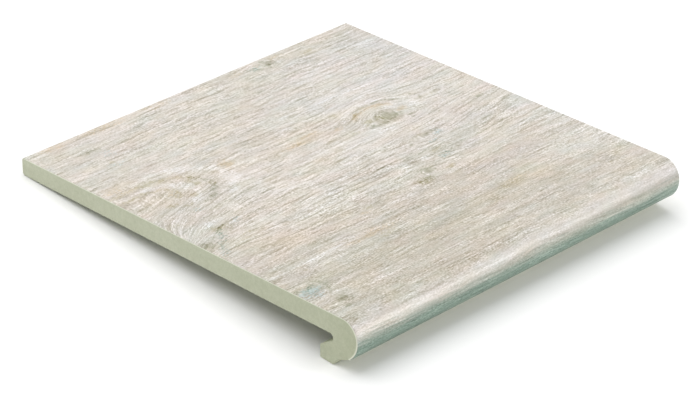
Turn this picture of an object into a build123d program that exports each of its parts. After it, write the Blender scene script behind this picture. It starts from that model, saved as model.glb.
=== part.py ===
"""Stair tread tile: one extruded and fired stoneware piece.

A flat slab turns down at its front into a rounded nose. Below the nose a lip
hooks back under the slab, so that the tread keys over the top of the riser.
The same end section runs over the whole width of the tile.

The section is drawn in the tile's own axes: u runs from the nose to the back
edge and v is height above the walking surface, so v is negative everywhere.
The tile is then set down as it lies on a level floor, on the flat under the
lip and on its back lower edge, which leans the walking surface back a little.
Row axes: +X along the nose, +Y from the nose to the back, +Z up, with the
origin on the floor at the middle of the footprint.
"""

import math
import os

from build123d import *

os.makedirs("parts", exist_ok=True)

# ---- driving dimensions, mm -------------------------------------------------
WIDTH = 317.0  # along the nose, from cut end to cut end
DEPTH = 330.0  # from the front of the nose to the back edge
HEIGHT = 38.0  # walking surface to the flat under the lip, square to the slab

SLAB_FRONT = 15.8  # slab thickness just behind the lip
SLAB_BACK = 13.9  # slab thickness at the back edge

NOSE_UPPER_R = 14.0  # rounding from the walking surface to the front
NOSE_LOWER_R = 18.0  # rounding from the front to the glaze line underneath
GLAZE_LINE_V = -28.3  # height where the rounded nose ends underneath

CHAMFER_U, CHAMFER_V = 17.6, -32.3  # start of the steep slope down to the lip
LIP_FRONT_U = 22.6  # front of the flat under the lip
LIP_BACK_U = 34.4  # back face of the lip, against the riser
LIP_TOP_V = -27.5  # top corner of the lip's back face
LIP_TOP_SLOPE = 32.0  # degrees, slope of the lip's upper face into the hook

HOOK_R = 2.8  # rounding at the inner end of the hook
BACK_UPPER_R = 3.0  # rounding of the back edge, above
BACK_LOWER_R = 2.5  # rounding of the back edge, below
CORNER_R = 0.8  # fired corners of the lip

# ---- the slab's underside and the hook --------------------------------------
rise = (SLAB_FRONT - SLAB_BACK) / (DEPTH - LIP_BACK_U)  # underside climbs to the back


def underside(u):
    """Height of the slab's underside at u."""
    return -SLAB_FRONT + rise * (u - LIP_BACK_U)


lip_fall = math.tan(math.radians(LIP_TOP_SLOPE))
hook_u = (LIP_TOP_V + lip_fall * LIP_BACK_U + SLAB_FRONT + rise * LIP_BACK_U) / (
    rise + lip_fall
)
hook_v = underside(hook_u)  # the lip's upper face meets the underside here

# ---- how the tile lies on a floor -------------------------------------------
# The floor is the line through the front of the lip's flat that touches the
# rounded back lower edge from below.
edge_u = DEPTH - BACK_LOWER_R
edge_v = underside(edge_u) + BACK_LOWER_R * math.hypot(1.0, rise)
run_u, run_v = edge_u - LIP_FRONT_U, edge_v + HEIGHT
lean = math.atan2(run_v, run_u) - math.asin(BACK_LOWER_R / math.hypot(run_u, run_v))
c, s = math.cos(lean), math.sin(lean)

lip_back_v = -HEIGHT + math.tan(lean) * (LIP_BACK_U - LIP_FRONT_U)

y_front = c * NOSE_LOWER_R - s * NOSE_UPPER_R - NOSE_LOWER_R
y_back = c * (DEPTH - BACK_UPPER_R) - s * BACK_UPPER_R + BACK_UPPER_R
z_floor = -s * LIP_FRONT_U - c * HEIGHT
end_plane = Plane(
    origin=(0, -(y_front + y_back) / 2, -z_floor),
    x_dir=(0, c, -s),
    z_dir=(1, 0, 0),
)

# ---- the tile ---------------------------------------------------------------
nose_sweep = math.degrees(math.asin((-NOSE_UPPER_R - GLAZE_LINE_V) / NOSE_LOWER_R))

with BuildPart() as tread_tile:
    with BuildSketch(end_plane) as section:
        with BuildLine() as outline:
            CenterArc((NOSE_UPPER_R, -NOSE_UPPER_R), NOSE_UPPER_R, 90, 90)
            nose_under = CenterArc(
                (NOSE_LOWER_R, -NOSE_UPPER_R), NOSE_LOWER_R, 180, nose_sweep
            )
            Polyline(
                nose_under @ 1,
                (CHAMFER_U, CHAMFER_V),
                (LIP_FRONT_U, -HEIGHT),
                (LIP_BACK_U, lip_back_v),
                (LIP_BACK_U, LIP_TOP_V),
                (hook_u, hook_v),
                (DEPTH, underside(DEPTH)),
                (DEPTH, 0),
                (NOSE_UPPER_R, 0),
            )
        make_face()
        for corner, radius in (
            ((hook_u, hook_v), HOOK_R),
            ((DEPTH, underside(DEPTH)), BACK_LOWER_R),
            ((DEPTH, 0), BACK_UPPER_R),
            ((LIP_BACK_U, LIP_TOP_V), CORNER_R),
            ((LIP_BACK_U, lip_back_v), CORNER_R),
            ((LIP_FRONT_U, -HEIGHT), CORNER_R),
            ((CHAMFER_U, CHAMFER_V), 2 * CORNER_R),
            (nose_under @ 1, CORNER_R),
        ):
            fillet(section.vertices().sort_by_distance(corner)[0], radius=radius)
    extrude(amount=WIDTH / 2, both=True)

tread_tile.part.label = "tread_tile"
export_step(tread_tile.part, "parts/tread_tile.step")

box = tread_tile.part.bounding_box()
print("lean deg", round(math.degrees(lean), 4))
print("box min", box.min, "max", box.max)
print("volume mm3", round(tread_tile.part.volume))
print("section area mm2", round(section.sketch.area, 2))
print("plane origin", end_plane.origin, "hook", round(hook_u, 3), round(hook_v, 3))


def to_row(u, v):
    """A point of the section in row axes, metres."""
    o = end_plane.origin
    return [0.0, round((o.Y + c * u + s * v) / 1000, 6), round((o.Z - s * u + c * v) / 1000, 6)]


mid_u = (LIP_BACK_U + DEPTH) / 2
print("bed face", to_row(mid_u, underside(mid_u)))
print("lip foot", to_row((LIP_FRONT_U + LIP_BACK_U) / 2, (-HEIGHT + lip_back_v) / 2))
print("lip back", to_row(LIP_BACK_U, (LIP_TOP_V + lip_back_v) / 2))
print("top", to_row(DEPTH / 2, 0))
print("back", to_row(DEPTH, -SLAB_BACK / 2))
print("lean sin cos", s, c)
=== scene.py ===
"""Stair tread tile in glazed stoneware with a pale limed-wood print.

One closed mesh stands for the tile: the end section of the CAD part, swept from
end to end, with softly broken end edges and a shallow wood-grain relief that is
cut into the glazed side. The print follows a grain field laid out over the
unrolled walking face, nose and back edge. Lengths in the code are millimetres
in the tile's own axes (x from the left end, u from the nose, v up from the
walking face) and are set into the row frame, in metres, at the end.
"""

import math

import bpy
import numpy as np
from mathutils import Matrix, Vector
from mathutils.geometry import delaunay_2d_cdt


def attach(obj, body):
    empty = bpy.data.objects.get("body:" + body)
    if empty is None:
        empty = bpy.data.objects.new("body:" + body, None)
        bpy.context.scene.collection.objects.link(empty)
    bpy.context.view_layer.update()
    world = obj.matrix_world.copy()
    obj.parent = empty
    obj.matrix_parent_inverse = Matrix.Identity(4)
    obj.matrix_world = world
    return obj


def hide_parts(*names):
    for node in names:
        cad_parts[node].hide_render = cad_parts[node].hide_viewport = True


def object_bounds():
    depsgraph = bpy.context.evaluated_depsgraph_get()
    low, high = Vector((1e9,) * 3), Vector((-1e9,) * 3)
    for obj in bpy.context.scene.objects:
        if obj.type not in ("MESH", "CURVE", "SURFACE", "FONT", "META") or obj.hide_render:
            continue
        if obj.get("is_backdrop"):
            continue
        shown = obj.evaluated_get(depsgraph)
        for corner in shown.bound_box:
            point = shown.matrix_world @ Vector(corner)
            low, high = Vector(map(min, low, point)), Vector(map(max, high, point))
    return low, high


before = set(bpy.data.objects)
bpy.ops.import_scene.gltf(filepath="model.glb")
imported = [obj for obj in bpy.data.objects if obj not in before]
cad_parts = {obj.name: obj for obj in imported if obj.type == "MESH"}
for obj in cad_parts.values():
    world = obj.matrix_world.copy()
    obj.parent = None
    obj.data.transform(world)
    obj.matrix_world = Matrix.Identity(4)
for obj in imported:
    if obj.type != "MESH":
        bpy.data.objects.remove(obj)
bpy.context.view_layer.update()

# ---- the tile's measures, mm -------------------------------------------------
WIDTH, DEPTH, HEIGHT = 317.0, 330.0, 38.0
SLAB_FRONT, SLAB_BACK = 15.8, 13.9
UPPER_R, LOWER_R, GLAZE_V = 14.0, 18.0, -28.3
CHAMFER = (17.6, -32.3)
LIP_FRONT, LIP_BACK, LIP_TOP_V, LIP_SLOPE = 22.6, 34.4, -27.5, 32.0
HOOK_R, BACK_UPPER_R, BACK_LOWER_R, CORNER_R = 2.8, 3.0, 2.5, 0.8
END_R = 0.45  # broken edge round both cut ends

# ---- how the tile lies: its section axes in the row frame -----------------------
rise = (SLAB_FRONT - SLAB_BACK) / (DEPTH - LIP_BACK)


def underside(u):
    return -SLAB_FRONT + rise * (u - LIP_BACK)


edge_u = DEPTH - BACK_LOWER_R
edge_v = underside(edge_u) + BACK_LOWER_R * math.hypot(1.0, rise)
run_u, run_v = edge_u - LIP_FRONT, edge_v + HEIGHT
lean = math.atan2(run_v, run_u) - math.asin(BACK_LOWER_R / math.hypot(run_u, run_v))
LC, LS = math.cos(lean), math.sin(lean)
y_front = LC * LOWER_R - LS * UPPER_R - LOWER_R
y_back = LC * (DEPTH - BACK_UPPER_R) - LS * BACK_UPPER_R + BACK_UPPER_R
OY, OZ = -(y_front + y_back) / 2, LS * LIP_FRONT + LC * HEIGHT


def to_row(x, u, v):
    """A place in the tile's axes, mm, as a place in the row frame, metres."""
    return Vector(
        (
            (x - WIDTH / 2) / 1000,
            (OY + LC * u + LS * v) / 1000,
            (OZ - LS * u + LC * v) / 1000,
        )
    )


def turn_row(x, u, v):
    """A direction in the tile's axes as a direction in the row frame."""
    return Vector((x, LC * u + LS * v, -LS * u + LC * v))


# ---- the end section, as one closed run of points --------------------------------
def corner(a, b, c, r):
    """Tangent points and centre of a rounding of radius r at b."""
    a, b, c = np.array(a, float), np.array(b, float), np.array(c, float)
    d1, d2 = (a - b) / np.linalg.norm(a - b), (c - b) / np.linalg.norm(c - b)
    half = math.acos(float(d1 @ d2)) / 2
    mid = (d1 + d2) / np.linalg.norm(d1 + d2)
    return b + d1 * r / math.tan(half), b + d2 * r / math.tan(half), b + mid * r / math.sin(half)


class Outline:
    """Points, outward normals and running length, interior on the right."""

    def __init__(self):
        self.p, self.n, self.s, self.at = [], [], [], 0.0

    def add(self, p, n, s):
        self.p.append(p)
        self.n.append(n)
        self.s.append(s)

    def line(self, p, q, step):
        p, q = np.array(p, float), np.array(q, float)
        run = float(np.linalg.norm(q - p))
        d = (q - p) / run
        k = max(1, int(math.ceil(run / step)))
        for i in range(k):
            self.add(p + d * run * i / k, np.array((-d[1], d[0])), self.at + run * i / k)
        self.at += run

    def arc(self, centre, p, q, step):
        centre, p, q = np.array(centre, float), np.array(p, float), np.array(q, float)
        r = float(np.linalg.norm(p - centre))
        a0 = math.atan2(*(p - centre)[::-1])
        sweep = math.atan2(*(q - centre)[::-1]) - a0
        sweep = (sweep + math.pi) % (2 * math.pi) - math.pi
        run = abs(sweep) * r
        k = max(2, int(math.ceil(run / step)))
        for i in range(k):
            a = a0 + sweep * i / k
            out = np.array((math.cos(a), math.sin(a)))
            self.add(centre + out * r, -out if sweep > 0 else out, self.at + run * i / k)
        self.at += run


lip_fall = math.tan(math.radians(LIP_SLOPE))
hook_u = (LIP_TOP_V + lip_fall * LIP_BACK + SLAB_FRONT + rise * LIP_BACK) / (rise + lip_fall)
hook = (hook_u, underside(hook_u))
lip_back_v = -HEIGHT + math.tan(lean) * (LIP_BACK - LIP_FRONT)
sweep_end = math.asin((-UPPER_R - GLAZE_V) / LOWER_R)
glaze_end = np.array((LOWER_R - LOWER_R * math.cos(sweep_end), GLAZE_V))

# rounding where the nose meets the flat under it: tangent to the arc and the line
low_c = np.array((LOWER_R, -UPPER_R))
d = np.array(CHAMFER) - glaze_end
d /= np.linalg.norm(d)
inward = np.array((-d[1], d[0]))
base_pt = glaze_end + inward * CORNER_R - low_c
b_half = float(base_pt @ d)
root = math.sqrt(b_half**2 - float(base_pt @ base_pt) + (LOWER_R - CORNER_R) ** 2)
tip_c = min(
    (low_c + base_pt + d * t for t in (-b_half + root, -b_half - root)),
    key=lambda q: float(np.linalg.norm(q - glaze_end)),
)
tip_arc = low_c + (tip_c - low_c) / np.linalg.norm(tip_c - low_c) * LOWER_R
tip_line = tip_c - inward * CORNER_R

back_low = (DEPTH, underside(DEPTH))
bu = corner((UPPER_R, 0), (DEPTH, 0), back_low, BACK_UPPER_R)
bl = corner((DEPTH, 0), back_low, hook, BACK_LOWER_R)
hk = corner(back_low, hook, (LIP_BACK, LIP_TOP_V), HOOK_R)
l1 = corner(hook, (LIP_BACK, LIP_TOP_V), (LIP_BACK, lip_back_v), CORNER_R)
l2 = corner((LIP_BACK, LIP_TOP_V), (LIP_BACK, lip_back_v), (LIP_FRONT, -HEIGHT), CORNER_R)
l3 = corner((LIP_BACK, lip_back_v), (LIP_FRONT, -HEIGHT), CHAMFER, CORNER_R)
ch = corner((LIP_FRONT, -HEIGHT), CHAMFER, glaze_end, 2 * CORNER_R)

outline = Outline()
front = (0.0, -UPPER_R)
outline.arc(low_c, tip_arc, front, 0.5)
outline.arc((UPPER_R, -UPPER_R), front, (UPPER_R, 0.0), 0.5)
s_top = outline.at  # running length where the flat walking face begins
outline.line((UPPER_R, 0.0), bu[0], 0.68)
outline.arc(bu[2], bu[0], bu[1], 0.42)
s_back = outline.at  # running length where the straight back face begins
outline.line(bu[1], bl[0], 0.8)
outline.arc(bl[2], bl[0], bl[1], 0.6)
s_bed = outline.at
outline.line(bl[1], hk[0], 5.0)
outline.arc(hk[2], hk[0], hk[1], 0.6)
outline.line(hk[1], l1[0], 1.2)
outline.arc(l1[2], l1[0], l1[1], 0.3)
outline.line(l1[1], l2[0], 1.2)
outline.arc(l2[2], l2[0], l2[1], 0.3)
outline.line(l2[1], l3[0], 1.5)
outline.arc(l3[2], l3[0], l3[1], 0.3)
outline.line(l3[1], ch[0], 1.2)
outline.arc(ch[2], ch[0], ch[1], 0.3)
outline.line(ch[1], tip_line, 1.2)
outline.arc(tip_c, tip_line, tip_arc, 0.12)

OUT_P, OUT_N = np.array(outline.p), np.array(outline.n)
OUT_S = np.array(outline.s) - s_top + UPPER_R  # equals u on the walking face
S_GLAZE, S_BACK = UPPER_R - s_top, s_back - s_top + UPPER_R
S_END = outline.at - s_top + UPPER_R
ROWS = len(OUT_S)


# ---- smooth fields over the unrolled face ------------------------------------------
def lattice(i, j, seed):
    h = (i * 374761393 + j * 668265263 + seed * 974634541) & 0xFFFFFFFF
    h = ((h ^ (h >> 13)) * 1274126177) & 0xFFFFFFFF
    return ((h ^ (h >> 16)) & 0xFFFFFF) / float(0xFFFFFF) * 2.0 - 1.0


def noise(x, y, seed):
    """Smooth noise between -1 and 1 on a unit lattice."""
    i, j = np.floor(x).astype(np.int64), np.floor(y).astype(np.int64)
    fx, fy = x - i, y - j
    fx, fy = fx**3 * (fx * (6 * fx - 15) + 10), fy**3 * (fy * (6 * fy - 15) + 10)
    a = lattice(i, j, seed) * (1 - fx) + lattice(i + 1, j, seed) * fx
    b = lattice(i, j + 1, seed) * (1 - fx) + lattice(i + 1, j + 1, seed) * fx
    return a * (1 - fy) + b * fy


def hill(x, s, cx, cs, a, b):
    return np.exp(-(((x - cx) / a) ** 2) - ((s - cs) / b) ** 2)


def smooth(t, lo, hi):
    t = np.clip((t - lo) / (hi - lo), 0, 1)
    return t * t * (3 - 2 * t)


# Knots that the grain flows round: centre x, s, reach along x, above, below, how far it opens.
FLOWS = (
    (227, 191, 25, 23, 10, 1.3),
    (219, 155, 13, 6, 6, 1.0),
    (183, 114, 14, 7, 6, 1.0),
    (223, 318, 13, 7, 7, 1.0),
    (39, 302, 11, 6, 6, 0.8),
    (283, 200, 11, 5, 5, 0.8),
    (5, 53, 14, 7, 7, 0.9),
    (18, 32, 9, 6, 5, 0.9),
    (2, 144, 16, 9, 8, 1.0),
    (29, 156, 10, 5, 5, 0.8),
)


def grain_field(x, s):
    """Its level lines are the run of the grain over the face."""
    g = s + 4.0 * noise(x / 150, s / 110, 3) + 1.5 * noise(x / 60, s / 45, 5) + 0.5 * noise(x / 19, s / 15, 9)
    # cathedral figure that opens to the left end
    t = s - 209
    g = g + 17.0 * np.exp(-((t / np.where(t > 0, 19, 42)) ** 2)) * (1 - smooth(x, 2, 90))
    # the grain sweeps down to the knots at the left end and up towards the right end
    g = g + 27.0 * np.exp(-(((s - 163) / 25) ** 2)) * np.exp(-x / 18)
    g = g - 13.0 * hill(x, s, 325, 166, 62, 21)
    for cx, cs, reach, above, below, opened in FLOWS:
        t = s - cs
        g = g - opened * t * np.exp(-((t / np.where(t > 0, above, below)) ** 2) - ((x - cx) / reach) ** 2)
    return g


# Broad patches of colour, and painted light and shade on the nose: centre x, s, reach along x, along s, change in R, G,
# B (of 255).
ZONES = (
    (38, 106, 48, 20, -4, -8, -11),
    (185, 92, 70, 16, -4, -6, -6),
    (205, 62, 34, 8, 1, -3, -7),
    (90, 61, 60, 7, -6, -6, -8),
    (10, 52, 18, 8, -6, -3, -2),
    (50, 77, 28, 8, 7, 6, 6),
    (290, 68, 36, 12, 2, 4, 6),
    (262, 42, 40, 14, -2, -4, -3),
    (215, 126, 22, 8, -9, -6, -6),
    (138, 133, 44, 10, -5, -3, -3),
    (262, 143, 54, 8, -7, -4, -2),
    (287, 119, 34, 7, 3, 4, 5),
    (8, 146, 16, 14, -8, -6, -8),
    (24, 163, 30, 10, -4, -1, -1),
    (10, 180, 20, 12, -5, -4, -4),
    (16, 212, 36, 18, -3, -5, -8),
    (6, 246, 18, 14, -1, -4, -5),
    (68, 254, 22, 9, 4, 5, 6),
    (130, 234, 17, 6, -11, -11, -15),
    (154, 209, 26, 6, 0, -6, -12),
    (115, 197, 28, 8, 2, 0, -1),
    # painted shade: a darker band over the top of the nose, where the lamp above lights it too brightly
    (158, 11, 900, 3.0, -5, -5, -5),
    (158, -7, 900, 5, 4, -1, -5),
    # painted highlight: the nose highlight is painted to reach lower at the left end
    (0, -2.6, 110, 3.0, 25, 24, 22),
    (14, 2.0, 66, 3.2, 0, -4, -8),
    # painted shade: the nose is darker under its highlight at the right end
    (317, -3.2, 112, 3.6, -25, -22, -23),
    (292, 7.5, 46, 3.5, 8, 8, 9),
    (200, 6.5, 36, 2.0, 5, 5, 5),
    (180, 180, 40, 9, 5, 5, 6),
    (99, 160, 20, 8, 4, 5, 7),
    (285, 202, 40, 14, 5, 5, 5),
    (270, 265, 80, 58, 0, 2, 5),
    (60, 325, 74, 5, 5, 3, 1),
    (14, 302, 24, 24, -5, -6, -8),
    (70, 296, 26, 14, -1, -3, -5),
    (186, 292, 26, 14, -3, -1, -1),
    (302, 285, 16, 26, -2, 0, 2),
    (250, 236, 62, 22, 4, 4, 5),
    (258, 313, 26, 8, -4, -4, -6),
    (205, 222, 12, 5, 0, -2, -5),
    (125, 48, 80, 28, 0, -3, -6),
    (140, 18, 34, 8, 5, 1, 0),
    (215, 53, 20, 8, -6, -6, -5),
    (24, 120, 36, 12, -8, -7, -8),
    (140, 122, 32, 9, -5, -4, -4),
    (178, 104, 40, 8, -5, -4, -5),
    (258, 92, 40, 12, -5, -4, -4),
    (272, 158, 50, 8, -5, -3, -1),
    (308, 128, 22, 14, 0, 3, 5),
    (170, 161, 34, 8, 2, 4, 6),
    (128, 197, 14, 6, 4, 4, 4),
    (157, 250, 16, 8, 4, 4, 4),
    (41, 268, 18, 8, -5, -4, -5),
    (186, 322, 14, 7, -5, -6, -9),
    (218, 304, 24, 8, 1, 2, 4),
)

# Knots and marks: kind, centre x, s, reach along x, along s, weight.
OLIVE, BROWN, BLUE, PALE, RUST = range(5)
MARKS = (
    # large knot and what lies round it
    (OLIVE, 228, 195, 7.0, 6.5, 1.5),
    (OLIVE, 226, 191, 3.5, 3.0, 0.7),
    (OLIVE, 218, 188, 4.0, 2.4, 0.6),
    (BROWN, 219, 198, 5.5, 5.0, 0.6),
    (OLIVE, 220, 201, 2.4, 2.0, 0.6),
    (BROWN, 209, 198, 4.5, 2.6, 1.5),
    (BROWN, 204, 193, 3.5, 1.8, 0.7),
    (OLIVE, 207, 190, 3.0, 2.4, 1.1),
    (OLIVE, 213, 188, 2.6, 2.2, 0.45),
    (OLIVE, 241, 185.5, 3.0, 1.3, 2.0),
    (OLIVE, 240, 181.5, 2.8, 1.1, 1.1),
    (OLIVE, 258, 175, 2.4, 1.5, 0.8),
    (RUST, 243, 197, 5.0, 2.6, 1.2),
    (RUST, 232, 211, 6.0, 2.4, 0.7),
    (BROWN, 197, 221, 4.5, 3.5, 0.5),
    (BROWN, 189, 191, 6.0, 2.0, 0.5),
    (RUST, 187, 205, 7.0, 3.0, 0.7),
    (PALE, 240, 205, 7.0, 5.0, 0.6),
    (PALE, 252, 196, 9.0, 4.0, 0.5),
    (PALE, 214, 181, 16, 3.5, 0.6),
    # back edge
    (OLIVE, 226, 317, 6.5, 6.5, 0.76),
    (OLIVE, 222, 324, 2.4, 2.2, 0.8),
    (OLIVE, 214, 316, 6.5, 3.0, 0.8),
    (BLUE, 212, 318, 7.0, 4.0, 0.6),
    (BROWN, 259, 313, 8.0, 4.0, 0.62),
    (OLIVE, 0.5, 329, 2.5, 2.0, 1.3),
    (BROWN, 66, 327, 9.0, 3.5, 0.42),
    (RUST, 24, 325, 12.0, 5.0, 0.7),
    (RUST, 74, 324, 26.0, 6.0, 0.5),
    (RUST, 122, 324, 20.0, 5.0, 0.45),
    (RUST, 236, 323, 10.0, 3.5, 0.55),
    (RUST, 196, 320, 9.0, 3.0, 0.6),
    # upper left
    (OLIVE, 40, 302, 6.0, 5.4, 0.48),
    (BROWN, 33, 300, 4.0, 2.4, 0.5),
    (BLUE, 46, 292, 8.0, 7.0, 0.4),
    (BROWN, 40, 280, 3.4, 2.6, 0.7),
    (BLUE, 39, 275, 7.0, 4.5, 0.55),
    (RUST, 12, 245, 12.0, 6.0, 0.46),
    # cathedral figure
    (BROWN, 20, 239, 16.0, 2.4, 0.42),
    (BROWN, 44, 235, 8.0, 3.0, 0.65),
    (BROWN, 55, 231, 5.0, 3.2, 0.6),
    (BROWN, 58, 221, 3.6, 4.6, 0.85),
    (BROWN, 60, 214, 3.4, 3.6, 1.2),
    (BROWN, 69, 208, 3.6, 3.6, 0.65),
    (OLIVE, 63, 201, 4.6, 3.4, 0.7),
    (OLIVE, 56, 195, 5.6, 2.4, 0.9),
    (OLIVE, 50, 192, 4.0, 1.7, 0.6),
    (RUST, 37, 215, 5.0, 3.4, 0.8),
    (BROWN, 39, 209, 4.0, 2.6, 0.8),
    (BROWN, 47, 203, 3.8, 4.8, 0.95),
    (BROWN, 26, 202, 6.0, 2.6, 0.8),
    (BROWN, 33, 195, 6.0, 2.2, 0.8),
    (RUST, 93, 221, 6.0, 6.0, 1.15),
    (PALE, 50, 217, 6.0, 5.0, 1.1),
    (PALE, 82, 205, 8.0, 7.0, 1.15),
    (BLUE, 34, 186, 6.0, 4.0, 0.42),
    # left end
    (OLIVE, 2, 143, 7.0, 6.0, 1.0),
    (BROWN, 29, 156, 8.0, 5.5, 0.95),
    (OLIVE, 29, 155, 6.0, 4.0, 0.34),
    (OLIVE, 17, 141, 5.0, 2.4, 0.42),
    (BLUE, 43, 158, 6.0, 4.0, 0.5),
    (PALE, 24, 164, 7.0, 4.0, 0.95),
    (BROWN, 8, 180, 4.0, 3.0, 0.45),
    (BROWN, 36, 139, 9.0, 2.0, 0.5),
    # centre right
    (BROWN, 217, 158, 9.0, 1.5, 0.5),
    (OLIVE, 224, 156, 6.0, 2.4, 0.42),
    (OLIVE, 205, 152, 3.0, 1.7, 0.72),
    (BLUE, 234, 153, 6.0, 5.0, 0.55),
    (BLUE, 222, 144, 6.0, 4.0, 0.5),
    (BROWN, 211, 134, 5.0, 3.6, 0.72),
    (BLUE, 211, 125, 6.5, 5.5, 0.68),
    (PALE, 198, 130, 4.5, 3.0, 1.2),
    (PALE, 178, 132, 5.0, 4.0, 1.2),
    (OLIVE, 185, 116, 6.5, 4.8, 1.3),
    (BROWN, 173, 107, 9.0, 4.6, 0.75),
    (OLIVE, 173, 108, 8.5, 5.0, 0.56),
    (OLIVE, 166, 109, 3.5, 4.0, 0.34),
    (BROWN, 202, 110, 5.0, 3.0, 0.86),
    (PALE, 193, 109, 4.0, 2.6, 0.5),
    (BROWN, 119, 107, 9.0, 2.4, 0.66),
    (PALE, 77, 130, 7.0, 3.4, 0.9),
    (PALE, 97, 130.5, 9.0, 3.4, 0.9),
    (RUST, 110, 103, 8.0, 2.6, 0.6),
    (OLIVE, 283, 200, 4.5, 2.6, 0.36),
    (BROWN, 276, 197, 5.0, 2.4, 0.42),
    (OLIVE, 297, 172, 4.0, 1.5, 1.1),
    (BROWN, 120, 240, 8.0, 1.8, 0.55),
    (RUST, 148, 207, 14.0, 3.4, 0.78),
    (RUST, 164, 213, 10.0, 2.4, 0.8),
    # front
    (BLUE, 8, 51, 9.0, 7.0, 0.95),
    (OLIVE, 2.5, 57, 3.5, 2.4, 0.8),
    (OLIVE, 12, 56.5, 4.0, 2.4, 0.74),
    (OLIVE, 8, 47, 4.0, 1.4, 0.5),
    (OLIVE, 25, 55, 4.0, 3.2, 0.42),
    (PALE, 4, 50, 2.4, 2.0, 0.75),
    (PALE, 11.5, 51, 2.2, 1.8, 0.6),
    (OLIVE, 7.5, 53.5, 1.8, 1.6, 0.5),
    (OLIVE, 13.5, 48.5, 2.0, 1.4, 0.4),
    (PALE, 17, 47, 3.0, 2.4, 0.7),
    (PALE, 20, 41, 6.0, 4.0, 0.85),
    (OLIVE, 18, 32, 3.8, 3.6, 1.05),
    (OLIVE, 22, 29, 4.4, 2.0, 0.75),
    (OLIVE, 15, 24, 4.5, 3.0, 0.62),
    (BROWN, 28, 75, 4.0, 3.0, 0.42),
    (BROWN, 100, 72, 12, 3.4, 0.6),
    (RUST, 96, 80, 26, 4.0, 0.8),
    (BROWN, 210, 62, 18, 3.0, 0.42),
    (RUST, 222, 66, 16, 3.0, 0.48),
    (BROWN, 186, 52, 12, 2.0, 0.5),
    (BROWN, 113, 40, 4.0, 2.4, 0.45),
    (BROWN, 60, 18, 10, 2.0, 0.42),
    (BROWN, 288, 36, 10, 2.4, 0.42),
)

# Drawn lines: kind, width, weight, then the places they pass.
LINES = (
    (BROWN, 2.6, 0.72, ((0, 238), (20, 239), (37, 237), (50, 234), (59, 229), (65, 220))),
    (OLIVE, 2.4, 0.62, ((62, 225), (67, 216), (69, 209), (66, 203), (59, 196), (48, 191))),
    (PALE, 3.0, 0.85, ((26, 232), (43, 228), (53, 220), (55, 211), (50, 203), (42, 198))),
    (PALE, 4.2, 0.9, ((58, 242), (74, 234), (84, 222), (86, 208), (80, 198), (70, 191))),
    (BROWN, 2.0, 0.65, ((0, 228), (22, 229), (36, 225), (42, 218), (40, 208))),
    (PALE, 1.7, 0.8, ((193, 206), (200, 215), (212, 220), (232, 221), (247, 215), (258, 209), (266, 205))),
    (OLIVE, 1.2, 0.8, ((232, 217), (241, 216), (248, 212), (252, 207))),
    (RUST, 2.2, 0.8, ((204, 206), (210, 212), (226, 214), (237, 211), (241, 206))),
    (BLUE, 5.0, 0.44, ((24, 152), (14, 140), (5, 128))),
    (OLIVE, 4.2, 0.36, ((23, 151), (14, 141), (7, 132))),
    (BROWN, 1.2, 0.75, ((205, 209), (208, 211), (216, 216), (228, 217))),
    (OLIVE, 1.0, 0.75, ((262, 211), (267, 204), (264, 197))),
    (PALE, 1.2, 0.95, ((2, 82), (22, 82.5), (48, 82), (66, 83), (84, 82))),
    (PALE, 1.4, 0.7, ((204, 243), (220, 244), (236, 243), (254, 241))),
    (PALE, 1.3, 0.6, ((14, 131), (50, 132), (90, 131), (124, 132))),
    (OLIVE, 1.0, 0.5, ((0, 166), (22, 173), (50, 181), (84, 184), (112, 185))),
    (OLIVE, 1.0, 0.5, ((0, 141), (14, 149), (25, 156), (52, 166), (87, 174))),
    (OLIVE, 1.0, 0.42, ((6, 138), (26, 147), (56, 157), (96, 161))),
    (OLIVE, 0.9, 0.5, ((250, 139), (272, 139), (296, 143), (314, 148))),
    (OLIVE, 0.9, 0.5, ((226, 132), (250, 131), (282, 133))),
    (OLIVE, 0.9, 0.45, ((104, 177), (126, 178), (152, 177))),
    (PALE, 1.2, 0.6, ((240, 176), (258, 178), (276, 184))),
    (OLIVE, 0.9, 0.42, ((70, 262), (100, 263), (138, 262))),
    (OLIVE, 1.2, 0.6, ((18, 63), (23, 57), (23, 49), (18, 42))),
    (OLIVE, 1.0, 0.5, ((0, 64), (9, 63.5), (16, 60))),
    (OLIVE, 0.9, 0.7, ((205, 128.5), (214, 128), (229, 127))),
    (OLIVE, 0.9, 0.7, ((188, 138.5), (208, 138), (224, 137.5))),
    (OLIVE, 0.9, 0.6, ((214, 134), (226, 133), (240, 131))),
    (OLIVE, 0.9, 0.6, ((160, 141.5), (178, 141), (198, 142))),
)


def gathered(x, s):
    """The broad patches, with the darker front third that runs out towards the right; over the nose that darkening is
    lifted as a painted highlight, and some patches are painted light and shade on the nose.
    """
    # the last factor lifts the darkening over the nose: a painted highlight that widens the nose highlight upwards
    front = (1 - smooth(s, 55, 128)) * (1 - 0.6 * smooth(x, 110, 310)) * (0.35 + 0.65 * smooth(s, 2, 13))
    out = front[..., None] * np.array((-16.5, -15.0, -17.5))
    for cx, cs, a, b, r, g, bl_ in ZONES:
        out += hill(x, s, cx, cs, a, b)[..., None] * np.array((r, g, bl_))
    # small drifts of hue: warm to cool, and pink to green
    warm = noise(x / 9, s / 5, 71) + noise(x / 20, s / 10, 73) + noise(x / 46, s / 22, 75)
    pink = noise(x / 11, s / 6, 77) + noise(x / 26, s / 12, 79)
    out += warm[..., None] * np.array((1.2, 0.0, -1.5)) + pink[..., None] * np.array((0.85, -0.85, 0.1))
    return out / 255.0


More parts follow.
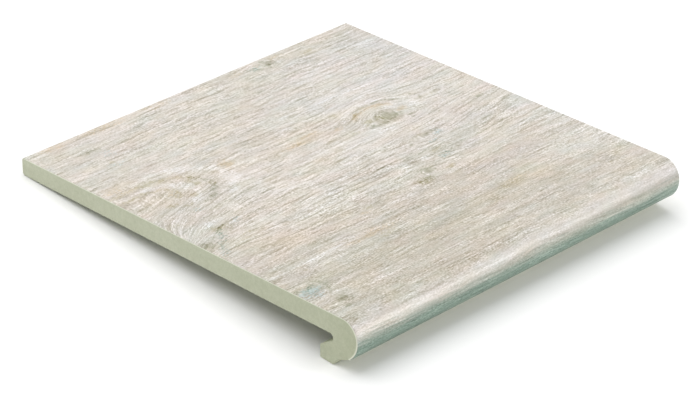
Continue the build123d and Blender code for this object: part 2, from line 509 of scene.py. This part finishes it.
def marked(x, s):
    """Weight of each kind of mark."""
    out = np.zeros(x.shape + (5,))
    wx, ws = 2.4 * noise(x / 7, s / 4, 61), 1.5 * noise(x / 6, s / 4, 63)
    for kind, cx, cs, a, b, weight in MARKS:
        stray = min(1.0, b / 4.0)  # small marks stay where they are
        out[..., kind] = np.maximum(out[..., kind], weight * hill(x + stray * wx, s + stray * ws, cx, cs, a, b))
    ls = s + 0.9 * noise(x / 9, s / 8, 65)
    for kind, width, weight, places in LINES:
        far = np.full(x.shape, 1e9)
        for (x0, s0), (x1, s1) in zip(places[:-1], places[1:]):
            run = (x1 - x0) ** 2 + (s1 - s0) ** 2
            t = np.clip(((x - x0) * (x1 - x0) + (ls - s0) * (s1 - s0)) / run, 0, 1)
            far = np.minimum(far, np.hypot(x - x0 - t * (x1 - x0), ls - s0 - t * (s1 - s0)))
        broken = 1.0 + 0.35 * noise(x / 5, s / 4, 67)
        out[..., kind] = np.maximum(out[..., kind], weight * broken * np.exp(-((far / width) ** 2)))
    return out


# ---- the mesh ------------------------------------------------------------------------
angles = np.radians((90, 60, 30))
left = [(END_R - END_R * math.sin(a), END_R - END_R * math.cos(a)) for a in angles]
inner = np.linspace(END_R, WIDTH - END_R, 131)
stations = left + [(float(x), 0.0) for x in inner] + [(WIDTH - x, o) for x, o in reversed(left)]
COLS = len(stations)
XS = np.array([x for x, _ in stations])
INSET = np.array([o for _, o in stations])

X, S = np.meshgrid(XS, OUT_S, indexing="ij")  # column, row
G = grain_field(X, S)

# strong lines of the grain, and how strongly each place shows them
wander = G + 0.6 * noise(X / 22, G / 5.0, 21)
quiet = 1 - smooth(S, 82, 126)  # the front third is plainer
band = noise(X / 50, wander / 5.0, 31)
short_line, long_line = noise(X / 11, wander / 1.75, 33), noise(X / 24, wander / 1.75, 35)
line = short_line + (long_line - short_line) * quiet
grain = 0.34 * band + 0.66 * line
strength = 1.09 + 0.11 * quiet + 0.22 * noise(X / 60, S / 36, 41)
strength += 0.66 * hill(X, S, 115, 130, 110, 40) + 0.15 * hill(X, S, 90, 291, 90, 14)
strength += 0.16 * hill(X, S, 160, 236, 34, 22) + 0.18 * hill(X, S, 225, 300, 40, 28)
strength -= 0.80 * hill(X, S, 82, 205, 10, 8)  # smooth pale spot at the head of the figure
strength -= 0.28 * hill(X, S, 28, 290, 36, 26)  # calmer upper left corner
strength -= 0.40 * hill(X, S, 30, 157, 10, 6)  # and left-end knot

# how much of the surface is glazed, row by row
skin_row = smooth(OUT_S, S_GLAZE - 0.4, S_GLAZE + 0.2) * (1 - smooth(OUT_S, S_BACK + 0.4, S_BACK + 2.4))
skin_row[OUT_S > S_END - 2.0] = 0.0
skin = np.tile(skin_row, (COLS, 1))
skin[0] = skin[-1] = 0.0

# shallow relief pressed into the glazed side, always inwards
flat = smooth(S, 1, 16) * (1 - smooth(S, 318, 328))
depth = (0.10 - 0.075 * grain) * strength
depth += 0.10 * smooth(-line, 0.25, 0.75)  # open grain lines
depth += 0.18 * hill(X, S, 227, 193, 9, 6) + 0.10 * hill(X, S, 223, 318, 7, 4.5)
depth += 0.08 * hill(X, S, 3, 143, 8, 5) + 0.08 * hill(X, S, 185, 116, 7, 4)
depth = np.clip(depth, 0.0, 0.32) * np.tile(np.clip(skin_row, 0, 1), (COLS, 1)) * (0.12 + 0.88 * flat)
ends = np.minimum(smooth(X, 0.3, 4.0), smooth(WIDTH - X, 0.3, 4.0))
depth = depth * (0.25 + 0.75 * ends)
# faint drag of the die over the bare underside
bare = (1 - np.tile(skin_row, (COLS, 1))) * smooth(S, S_BACK + 16, S_BACK + 40) * (1 - smooth(S, S_END - 60, S_END - 40))
depth += bare * 0.10 * (0.5 + 0.5 * noise(X / 130, S / 6.0, 51))

PU = OUT_P[None, :, 0] - OUT_N[None, :, 0] * (INSET[:, None] + depth)
PV = OUT_P[None, :, 1] - OUT_N[None, :, 1] * (INSET[:, None] + depth)
verts = np.stack(
    [
        (X - WIDTH / 2) / 1000,
        (OY + LC * PU + LS * PV) / 1000,
        (OZ - LS * PU + LC * PV) / 1000,
    ],
    -1,
).reshape(-1, 3)

index = np.arange(COLS * ROWS).reshape(COLS, ROWS)
nxt = np.roll(index, -1, axis=1)
quads = np.stack([index[:-1], nxt[:-1], nxt[1:], index[1:]], -1).reshape(-1, 4)


def inside(points, poly):
    x, y = points[:, 0][:, None], points[:, 1][:, None]
    x0, y0 = poly[:, 0][None], poly[:, 1][None]
    x1, y1 = np.roll(x0, -1, axis=1), np.roll(y0, -1, axis=1)
    crosses = ((y0 > y) != (y1 > y)) & (x < (x1 - x0) * (y - y0) / np.where(y1 == y0, 1e-12, y1 - y0) + x0)
    return crosses.sum(1) % 2 == 1


def cap(column):
    """Triangles that close one end, with inner points so that they stay well shaped."""
    poly = np.stack([PU[column], PV[column]], -1)
    gu, gv = np.meshgrid(np.arange(3.0, DEPTH, 3.4), np.arange(-36.5, 0, 3.4), indexing="ij")
    grid = np.stack([gu.ravel(), gv.ravel()], -1)
    grid = grid[inside(grid, poly)]
    near = np.sqrt(((grid[:, None] - poly[None]) ** 2).sum(-1)).min(1)
    grid = grid[near > 1.7]
    pts = [Vector((float(a), float(b))) for a, b in np.concatenate([poly, grid])]
    rim = [(i, (i + 1) % ROWS) for i in range(ROWS)]
    got, _, faces, source, _, _ = delaunay_2d_cdt(pts, rim, [], 1, 1e-6)
    if len(got) != len(pts):
        raise RuntimeError("an end face did not keep its outline")
    where = [o[0] for o in source]
    return grid, [[where[i] for i in f] for f in faces]


all_verts, cap_faces, cap_uv = [verts], [], []
extra_x, extra_u, extra_v = [], [], []
count = COLS * ROWS
for column, x in ((0, 0.0), (COLS - 1, WIDTH)):
    grid, faces = cap(column)
    row_pts = np.stack(
        [
            np.full(len(grid), (x - WIDTH / 2) / 1000),
            (OY + LC * grid[:, 0] + LS * grid[:, 1]) / 1000,
            (OZ - LS * grid[:, 0] + LC * grid[:, 1]) / 1000,
        ],
        -1,
    )
    all_verts.append(row_pts)
    flat_u = np.concatenate([PU[column], grid[:, 0]])
    flat_v = np.concatenate([PV[column], grid[:, 1]])
    for f in faces:
        a, b, c = f
        turn = (flat_u[b] - flat_u[a]) * (flat_v[c] - flat_v[a]) - (flat_u[c] - flat_u[a]) * (flat_v[b] - flat_v[a])
        if (turn > 0) == (column == 0):
            a, b, c = a, c, b
        face = [int(index[column, i]) if i < ROWS else count + i - ROWS for i in (a, b, c)]
        cap_faces.append(face)
        cap_uv.append([(column != 0, flat_u[i], flat_v[i]) for i in (a, b, c)])
    extra_x.append(np.full(len(grid), x))
    extra_u.append(grid[:, 0])
    extra_v.append(grid[:, 1])
    count += len(grid)

mesh = bpy.data.meshes.new("tread_tile_visual")
mesh.from_pydata(np.concatenate(all_verts).tolist(), [], quads.tolist() + cap_faces)
mesh.polygons.foreach_set("use_smooth", [True] * len(quads) + [False] * len(cap_faces))
mesh.update()


def store(name, strip, extra):
    """A vector for every vertex: the swept skin first, then the points inside the end faces."""
    data = np.concatenate([strip.reshape(-1, 3), extra]).astype(np.float32)
    mesh.attributes.new(name, "FLOAT_VECTOR", "POINT").data.foreach_set("vector", data.ravel())


ex, eu, ev = np.concatenate(extra_x), np.concatenate(extra_u), np.concatenate(extra_v)
zero = np.zeros_like(ex)
store("flow", np.stack([X, G, S], -1), np.stack([ex, eu, eu], -1))
store("section", np.stack([PU, PV, skin], -1), np.stack([eu, ev, zero], -1))
nil = np.stack([zero, zero, zero], -1)
marks = marked(X, S)
store("grain", np.stack([grain, strength, 1 - 0.8 * quiet], -1), nil)
store("tint", gathered(X, S), nil)
store("mark", marks[..., :3], nil)
store("pale", np.stack([marks[..., PALE], marks[..., RUST], depth], -1), nil)

# ---- unrolled map: glazed face large, bare faces smaller ---------------------------
uv = mesh.uv_layers.new(name="OFBake")
split = int(np.argmax(OUT_S > S_BACK + 2.6))  # first row of the bare side
rows_next = np.append(OUT_S[1:], S_END)
coords = np.zeros((len(quads) * 4 + len(cap_faces) * 3, 2))
bare_row = np.arange(ROWS) >= split
s0 = np.tile(OUT_S, (COLS - 1, 1))
s1 = np.tile(rows_next, (COLS - 1, 1))
xa = np.tile(XS[:-1, None], (1, ROWS))
xb = np.tile(XS[1:, None], (1, ROWS))
# the end rings are laid out by their own width, so that none of them is flat in the map
arc_x = np.concatenate([[0], np.cumsum(np.hypot(np.diff(XS), np.diff(INSET)))])
ua, ub = np.tile(arc_x[:-1, None], (1, ROWS)), np.tile(arc_x[1:, None], (1, ROWS))
S_SPLIT = OUT_S[split]


def place(s, a):
    t_skin = 0.005 + 0.99 * (s - OUT_S[0]) / (S_SPLIT - OUT_S[0])
    v_skin = 0.225 + 0.77 * a / arc_x[-1]
    t_bare = 0.005 + 0.99 * (s - S_SPLIT) / (S_END - S_SPLIT)
    v_bare = 0.105 + 0.105 * a / arc_x[-1]
    use = np.tile(bare_row, (COLS - 1, 1))
    return np.stack([np.where(use, t_bare, t_skin), np.where(use, v_bare, v_skin)], -1)


corners = np.stack([place(s0, ua), place(s1, ua), place(s1, ub), place(s0, ub)], 2)
coords[: len(quads) * 4] = corners.reshape(-1, 2)
flat_caps = []
for tri in cap_uv:
    for right_end, u, v in tri:
        flat_caps.append(((0.505 if right_end else 0.005) + 0.49 * u / DEPTH, 0.005 + 0.085 * (v + HEIGHT + 0.5) / (HEIGHT + 1)))
coords[len(quads) * 4 :] = flat_caps
uv.data.foreach_set("uv", coords.astype(np.float32).ravel())

tile = bpy.data.objects.new("tread_tile_visual", mesh)
bpy.context.scene.collection.objects.link(tile)


# ---- material ------------------------------------------------------------------------
class Nodes:
    """Short hand for building a node tree."""

    def __init__(self, material):
        material.use_nodes = True
        self.tree = material.node_tree
        self.tree.nodes.clear()

    def new(self, kind, **settings):
        node = self.tree.nodes.new(kind)
        for key, value in settings.items():
            setattr(node, key, value)
        return node

    def feed(self, socket, value):
        if isinstance(value, bpy.types.NodeSocket):
            self.tree.links.new(value, socket)
        else:
            socket.default_value = value

    def math(self, op, a, b=0.0, c=0.0, clamp=False):
        node = self.new("ShaderNodeMath", operation=op, use_clamp=clamp)
        for i, value in enumerate((a, b, c)):
            self.feed(node.inputs[i], value)
        return node.outputs[0]

    def vec(self, op, a, b=(0, 0, 0), c=(0, 0, 0), scale=None):
        node = self.new("ShaderNodeVectorMath", operation=op)
        for i, value in enumerate((a, b, c)):
            if i < len(node.inputs):
                self.feed(node.inputs[i], value)
        if scale is not None:
            self.feed(node.inputs["Scale"], scale)
        return node.outputs["Value"] if op in ("LENGTH", "DISTANCE", "DOT_PRODUCT") else node.outputs["Vector"]

    def step(self, value, lo, hi, out_lo=0.0, out_hi=1.0):
        node = self.new("ShaderNodeMapRange", interpolation_type="SMOOTHSTEP", clamp=True)
        for i, v in enumerate((value, lo, hi, out_lo, out_hi)):
            self.feed(node.inputs[i], v)
        return node.outputs[0]

    def attribute(self, name):
        return self.new("ShaderNodeAttribute", attribute_type="GEOMETRY", attribute_name=name).outputs["Vector"]

    def split(self, vector):
        return self.new_from(vector, "ShaderNodeSeparateXYZ").outputs

    def new_from(self, vector, kind):
        node = self.new(kind)
        self.feed(node.inputs[0], vector)
        return node

    def noise(self, vector, scale, detail=2.0, rough=0.5, offset=(0.0, 0.0, 0.0), dims="3D"):
        """Noise of a stretched vector, brought to about -1 to 1."""
        stretched = self.vec("MULTIPLY_ADD", vector, scale, offset)
        node = self.new("ShaderNodeTexNoise", noise_dimensions=dims)
        self.feed(node.inputs["Vector"], stretched)
        node.inputs["Scale"].default_value = 1.0
        node.inputs["Detail"].default_value = detail
        node.inputs["Roughness"].default_value = rough
        return self.math("MULTIPLY_ADD", node.outputs["Fac"], 4.0, -2.0)

    def mix(self, fac, a, b):
        """Between two vectors."""
        node = self.new("ShaderNodeMix", data_type="VECTOR", clamp_factor=True)
        self.feed(node.inputs[0], fac)
        self.feed(node.inputs[4], a)
        self.feed(node.inputs[5], b)
        return node.outputs[1]


stoneware = bpy.data.materials.new("stoneware_wood_print")
k = Nodes(stoneware)
flow, section = k.attribute("flow"), k.attribute("section")
tint, mark_x = k.attribute("tint"), k.split(k.attribute("mark"))
pale_x = k.split(k.attribute("pale"))
grain_x = k.split(k.attribute("grain"))
flow_x, sec_x = k.split(flow), k.split(section)
strong, amount, lively = grain_x[0], grain_x[1], grain_x[2]

# fine lines, hairs, pores, print grit and soft clouds
across = k.new("ShaderNodeCombineXYZ")
k.feed(across.inputs[0], flow_x[0])
k.feed(across.inputs[1], flow_x[2])
plain = across.outputs[0]
fine = k.noise(flow, (0.115, 0.86, 0.0), 1.0, 0.5, (3.1, 7.7, 0.5), "2D")
hair = k.noise(flow, (0.52, 1.45, 0.0), 0.6, 0.5, (11.3, 2.9, 0.5), "2D")
pore = k.noise(flow, (0.10, 0.95, 0.0), 1.0, 0.5, (5.7, 31.1, 0.5), "2D")
cloud = k.noise(flow, (0.03, 0.09, 0.0), 3.0, 0.55, (1.7, 4.9, 0.5), "2D")
blot = k.noise(flow, (0.09, 0.24, 0.0), 3.0, 0.6, (8.2, 1.3, 0.5), "2D")
long = k.noise(flow, (0.020, 0.58, 0.0), 2.0, 0.55, (14.2, 8.6, 0.5), "2D")
dust = k.noise(plain, (0.62, 0.82, 0.0), 0.4, 0.5, (2.3, 9.1, 0.5), "2D")

# combed lines of the grain, about five millimetres apart, that come and go
sway = k.noise(flow, (0.032, 0.075, 0.0), 2.0, 0.5, (6.1, 2.2, 0.5), "2D")
turn_on = k.noise(flow, (0.07, 0.2, 0.0), 1.0, 0.5, (9.4, 5.8, 0.5), "2D")
phase = k.math("MULTIPLY_ADD", sway, 1.7, k.math("MULTIPLY", flow_x[1], 2 * math.pi / 4.9))
phase = k.math("MULTIPLY_ADD", fine, 0.35, phase)
dark_line = k.step(k.math("SINE", phase), 0.25, 0.95)
pale_line = k.step(k.math("SINE", k.math("ADD", phase, 2.3)), 0.35, 0.98)
comb = k.math("SUBTRACT", k.math("MULTIPLY", pale_line, 0.4), k.math("MULTIPLY", dark_line, 1.3))
comb = k.math("MULTIPLY", comb, k.step(turn_on, -0.9, 0.7, 0.15, 1.0))
comb = k.math("MULTIPLY", comb, lively)

tone = k.math("MULTIPLY", strong, 0.060)
tone = k.math("MULTIPLY_ADD", fine, 0.044, tone)
tone = k.math("MULTIPLY_ADD", hair, 0.066, tone)
tone = k.math("MULTIPLY_ADD", long, k.math("MULTIPLY_ADD", lively, -0.024, 0.050), tone)
tone = k.math("MULTIPLY_ADD", comb, 0.062, tone)
pores = k.step(pore, 0.55, 1.0)
tone = k.math("MULTIPLY_ADD", pores, -0.085, tone)
come_go = k.noise(flow, (0.040, 0.13, 0.0), 1.0, 0.5, (12.9, 3.4, 0.5), "2D")
tone = k.math("MULTIPLY", tone, k.step(come_go, -0.9, 0.9, 0.62, 1.38))
tone = k.math("MULTIPLY", tone, amount)
tone = k.math("MULTIPLY_ADD", dust, 0.030, tone)
tone = k.math("SMOOTH_MAX", tone, -0.22, 0.16)  # the darkest lines are held back
bright = k.math("MAXIMUM", tone, 0.0)
tone = k.math("SUBTRACT", tone, k.math("MULTIPLY", k.math("MULTIPLY", bright, bright), k.math("MULTIPLY", lively, 1.3)))
tone = k.math("MULTIPLY_ADD", cloud, 0.010, tone)
# the print is fainter where it turns over the nose, painted as washed out by the highlight there
turned = k.step(flow_x[2], 9.0, 2.0)
tone = k.math("MULTIPLY", tone, k.math("MULTIPLY_ADD", turned, -0.48, 1.0))

colour = k.vec("MULTIPLY_ADD", (tone), (0.86, 0.88, 1.02), (0.801, 0.776, 0.738))
hue = k.math("MULTIPLY_ADD", blot, 0.6, cloud)
colour = k.vec("MULTIPLY_ADD", hue, (0.004, -0.002, -0.007), colour)
colour = k.vec("ADD", colour, tint)
# painted highlight: the nose is painted paler and whiter where its highlight falls
colour = k.vec("MULTIPLY_ADD", turned, (0.006, 0.012, 0.026), colour)

# knots and marks: ragged along the grain and speckled, never airbrushed
flake = k.noise(plain, (0.30, 0.44, 0.0), 2.0, 0.65, (7.9, 3.3, 0.5), "2D")
crumb = k.math("MULTIPLY_ADD", dust, 0.32, k.math("MULTIPLY", fine, 0.20))
crumb = k.math("MULTIPLY_ADD", flake, 0.34, crumb)
for weight, change in (
    (pale_x[0], (0.050, 0.058, 0.074)),
    (pale_x[1], (-0.030, -0.056, -0.098)),
    (mark_x[0], (-0.172, -0.160, -0.196)),
    (mark_x[1], (-0.090, -0.098, -0.145)),
    (mark_x[2], (-0.095, -0.040, -0.020)),
):
    ragged = k.math("MULTIPLY_ADD", crumb, k.step(weight, 0.02, 0.35), weight)
    shown = k.step(ragged, 0.20, 0.95)
    colour = k.vec("MULTIPLY_ADD", shown, change, colour)

# lower nose: the glaze runs out thin and grey-green, and the colour there is also painted darker as painted shade under
# the nose
run_out = k.noise(flow, (0.03, 0.5, 0.0), 2.0, 0.6, (4.4, 17.0, 0.5), "2D")
low = k.math("MULTIPLY_ADD", run_out, 1.8, flow_x[2])
low = k.math("ADD", low, k.math("MULTIPLY_ADD", flow_x[0], 0.006, -0.95))  # lower towards the right end
thin_glaze_and_shade = k.step(low, -0.4, -14.6)
glaze_tone = k.math("MULTIPLY_ADD", run_out, 0.018, k.math("MULTIPLY", tone, 1.4))
colour = k.mix(thin_glaze_and_shade, colour, k.vec("MULTIPLY_ADD", glaze_tone, (1.0, 1.0, 1.0), (0.455, 0.540, 0.482)))

# bare fired body: fine speckle, the drag of the die along the tile, darker towards the nose end, and lighter on the lip
# as painted light against the shade near the floor
su, sv = sec_x[0], sec_x[1]
place_v = k.new("ShaderNodeTexCoord").outputs["Object"]
speck = k.noise(place_v, (900.0, 900.0, 900.0), 2.0, 0.6)
grit = k.noise(place_v, (260.0, 260.0, 260.0), 3.0, 0.6)
drag = k.noise(place_v, (6.0, 420.0, 420.0), 2.0, 0.6)
patchy = k.noise(place_v, (24.0, 24.0, 60.0), 3.0, 0.55)
body_tone = k.math("MULTIPLY", speck, 0.020)
body_tone = k.math("MULTIPLY_ADD", grit, 0.022, body_tone)
body_tone = k.math("MULTIPLY_ADD", drag, 0.012, body_tone)
body_tone = k.math("MULTIPLY_ADD", patchy, 0.012, body_tone)
# darker towards the nose end
body_tone = k.math("MULTIPLY_ADD", k.step(su, 150.0, -10.0), -0.036, body_tone)
body_tone = k.math("MULTIPLY_ADD", k.step(su, 22.0, 6.0), -0.016, body_tone)
# painted light: the lip is lightened to lift the shade that falls on it near the floor
body_tone = k.math("MULTIPLY_ADD", k.step(sv, -28.0, -33.0), 0.022, body_tone)
body = k.vec("MULTIPLY_ADD", body_tone, (1.0, 0.95, 1.1), (0.741, 0.756, 0.661))

# a pale line round the top of the cut ends, above the glaze line
d_top = k.math("MULTIPLY", sv, -1.0)
d_up = k.math("SUBTRACT", UPPER_R, k.vec("DISTANCE", k.vec("MULTIPLY", section, (1, 1, 0)), (UPPER_R, -UPPER_R, 0)))
d_low = k.math("SUBTRACT", LOWER_R, k.vec("DISTANCE", k.vec("MULTIPLY", section, (1, 1, 0)), (LOWER_R, -UPPER_R, 0)))
is_front = k.math("LESS_THAN", su, UPPER_R)
is_low = k.math("LESS_THAN", sv, -UPPER_R)
d_front = k.math("ADD", k.math("MULTIPLY", d_up, k.math("SUBTRACT", 1.0, is_low)), k.math("MULTIPLY", d_low, is_low))
d_edge = k.math("ADD", k.math("MULTIPLY", d_top, k.math("SUBTRACT", 1.0, is_front)), k.math("MULTIPLY", d_front, is_front))
d_edge = k.math("MULTIPLY_ADD", grit, 0.12, d_edge)
d_edge = k.math("MULTIPLY_ADD", k.step(su, 13.0, 3.0), -0.55, d_edge)  # thicker round the nose
above = k.math("GREATER_THAN", sv, GLAZE_V)
rim = k.math("MULTIPLY", k.step(d_edge, 1.25, 0.75), above)
body = k.mix(rim, body, k.vec("MULTIPLY_ADD", body_tone, (0.8, 0.8, 0.8), (0.892, 0.900, 0.830)))

glazed = k.step(k.math("MULTIPLY_ADD", grit, 0.10, sec_x[2]), 0.35, 0.65)
colour = k.mix(glazed, body, colour)
gamma = k.new("ShaderNodeGamma")
k.feed(gamma.inputs["Color"], k.vec("MINIMUM", k.vec("MAXIMUM", colour, (0.02, 0.02, 0.02)), (0.97, 0.97, 0.97)))
gamma.inputs["Gamma"].default_value = 2.2

# satin glaze, a little duller along the open grain; the bare body is matt
even = k.math("MULTIPLY_ADD", turned, -0.7, 1.0)
sheen = k.math("MULTIPLY", strong, -0.05)
sheen = k.math("MULTIPLY_ADD", fine, -0.035, sheen)
sheen = k.math("MULTIPLY_ADD", blot, 0.03, sheen)
sheen = k.math("MULTIPLY_ADD", sheen, even, 0.38)
rough_body = k.math("MULTIPLY_ADD", grit, 0.03, 0.86)
rough = k.math("ADD", k.math("MULTIPLY", sheen, glazed), k.math("MULTIPLY", rough_body, k.math("SUBTRACT", 1.0, glazed)))

height = k.math("MULTIPLY_ADD", hair, 0.35, fine)
height = k.math("MULTIPLY_ADD", pores, -0.8, height)
height = k.math("MULTIPLY", k.math("MULTIPLY", height, even), glazed)
height_body = k.math("MULTIPLY", k.math("ADD", k.math("MULTIPLY", speck, 0.5), grit), k.math("SUBTRACT", 1.0, glazed))
height = k.math("ADD", height, height_body)
bump = k.new("ShaderNodeBump")
bump.inputs["Strength"].default_value = 0.6
bump.inputs["Distance"].default_value = 0.00004
k.feed(bump.inputs["Height"], height)

shader = k.new("ShaderNodeBsdfPrincipled")
k.feed(shader.inputs["Base Color"], gamma.outputs[0])
k.feed(shader.inputs["Roughness"], rough)
k.feed(shader.inputs["Normal"], bump.outputs[0])
shader.inputs["Specular IOR Level"].default_value = 0.6
output = k.new("ShaderNodeOutputMaterial")
k.feed(output.inputs["Surface"], shader.outputs[0])
mesh.materials.append(stoneware)

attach(tile, "root")
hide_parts("tread_tile")

# ---- floor -----------------------------------------------------------------------------
floor_mesh = bpy.data.meshes.new("studio_floor")
floor_mesh.from_pydata([(-9, -9, -5e-5), (9, -9, -5e-5), (9, 9, -5e-5), (-9, 9, -5e-5)], [], [(0, 1, 2, 3)])
floor = bpy.data.objects.new("studio_floor", floor_mesh)
bpy.context.scene.collection.objects.link(floor)
paper = bpy.data.materials.new("studio_paper")
f = Nodes(paper)
matt = f.new("ShaderNodeBsdfDiffuse")
matt.inputs["Color"].default_value = (0.93, 0.93, 0.93, 1)
end = f.new("ShaderNodeOutputMaterial")
f.feed(end.inputs["Surface"], matt.outputs[0])
floor_mesh.materials.append(paper)
floor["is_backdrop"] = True

# ---- camera ----------------------------------------------------------------------------
AZ, EL, DIST = math.radians(45.02), math.radians(27.94), 2120.1
TARGET = (116.14, 123.22, 0.0)
away = (-math.sin(AZ) * math.cos(EL), -math.cos(AZ) * math.cos(EL), math.sin(EL))
camera_data = bpy.data.cameras.new("camera")
camera_data.sensor_fit = "HORIZONTAL"
camera_data.sensor_width = 36.0
camera_data.lens = 160.92
camera_data.clip_start, camera_data.clip_end = 0.05, 50.0
camera = bpy.data.objects.new("camera", camera_data)
bpy.context.scene.collection.objects.link(camera)
look = -turn_row(*away).normalized()
side = look.cross(turn_row(0, 0, 1)).normalized()
upward = side.cross(look)
turn = Matrix((side, upward, -look)).transposed().to_4x4()
camera.matrix_world = Matrix.Translation(to_row(*(t + DIST * a for t, a in zip(TARGET, away)))) @ turn
bpy.context.scene.camera = camera


# ---- plain soft studio light --------------------------------------------------------------
def softbox(name, place, aim, size, power, colour=(1, 1, 1)):
    data = bpy.data.lights.new(name, "AREA")
    data.shape = "RECTANGLE"
    data.size, data.size_y = size
    data.energy = power
    data.color = colour
    lamp = bpy.data.objects.new(name, data)
    bpy.context.scene.collection.objects.link(lamp)
    lamp.location = place
    lamp.rotation_euler = (Vector(aim) - Vector(place)).to_track_quat("-Z", "Y").to_euler()
    return lamp


softbox("key_above", (-0.6, 1.25, 3.0), (-0.6, 1.05, 0), (4.6, 4.2), 114.0)
softbox("front_right", (1.36, -1.72, 1.00), (0.0, -0.16, 0.02), (0.60, 0.76), 16.0)

world = bpy.data.worlds.new("studio")
bpy.context.scene.world = world
world.use_nodes = True
sky = world.node_tree.nodes.get("Background")
sky.inputs["Color"].default_value = (1.0, 1.0, 1.0, 1)
sky.inputs["Strength"].default_value = 0.50

view = bpy.context.scene.view_settings
view.view_transform = "Standard"
view.look = "None"
view.exposure = 0.0
view.gamma = 1.0

bpy.context.view_layer.update()
low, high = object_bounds()
